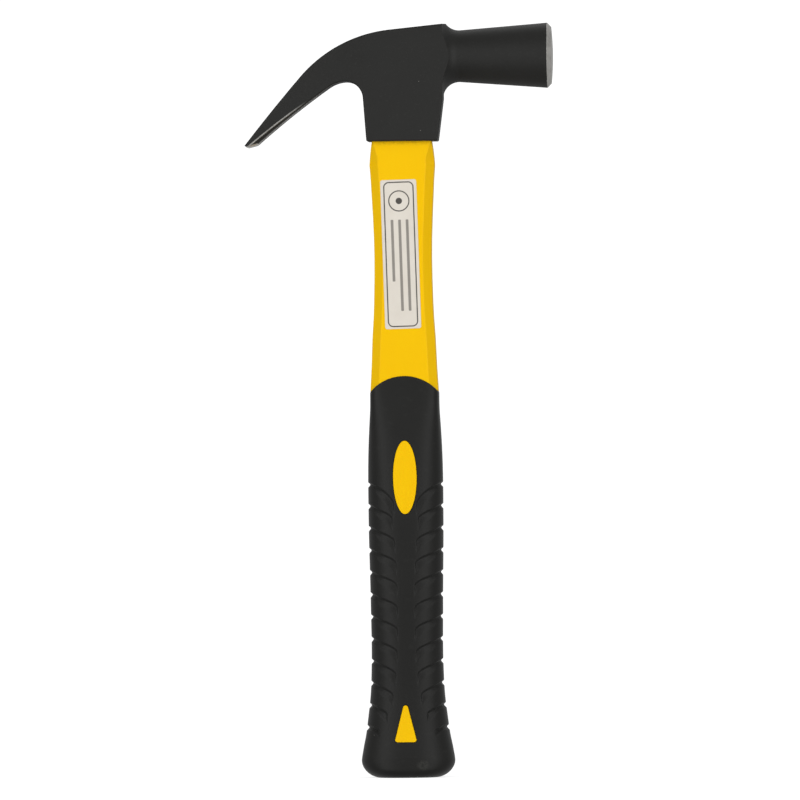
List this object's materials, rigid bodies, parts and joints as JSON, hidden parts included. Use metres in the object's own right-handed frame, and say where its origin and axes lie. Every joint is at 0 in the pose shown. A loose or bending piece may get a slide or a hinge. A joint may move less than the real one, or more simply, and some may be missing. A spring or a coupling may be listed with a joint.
{
  "type": "claw hammer",
  "caption": "Curved-claw hammer: black forged head with a round domed face and split claw, on a yellow fibreglass handle with a ribbed black rubber grip.",
  "frame": {"origin": "centre of the butt's flat end, on the handle axis", "axes": "+Z along the handle from the butt to the head, +X from the claws to the striking face, +Y and -Y through the cheeks"},
  "size_m": [0.1351, 0.0316, 0.3301],
  "materials": {
    "head_paint": "satin black paint over forged steel, with a bare ground striking face",
    "fibreglass": "pultruded glass fibre in resin, ground end",
    "yellow_plastic": "semi-gloss moulded yellow plastic",
    "grip_rubber": "matte black moulded rubber",
    "epoxy": "cast dark epoxy resin",
    "seal_rubber": "soft moulded collar",
    "label_film": "matte off-white adhesive film"
  },
  "bodies": {
    "root": {"head": "head_paint", "fibreglass_core": "fibreglass", "handle_jacket": "yellow_plastic", "grip": "grip_rubber", "epoxy_fill": "epoxy", "eye_seal": "seal_rubber", "label": "label_film"}
  },
  "joints": []
}
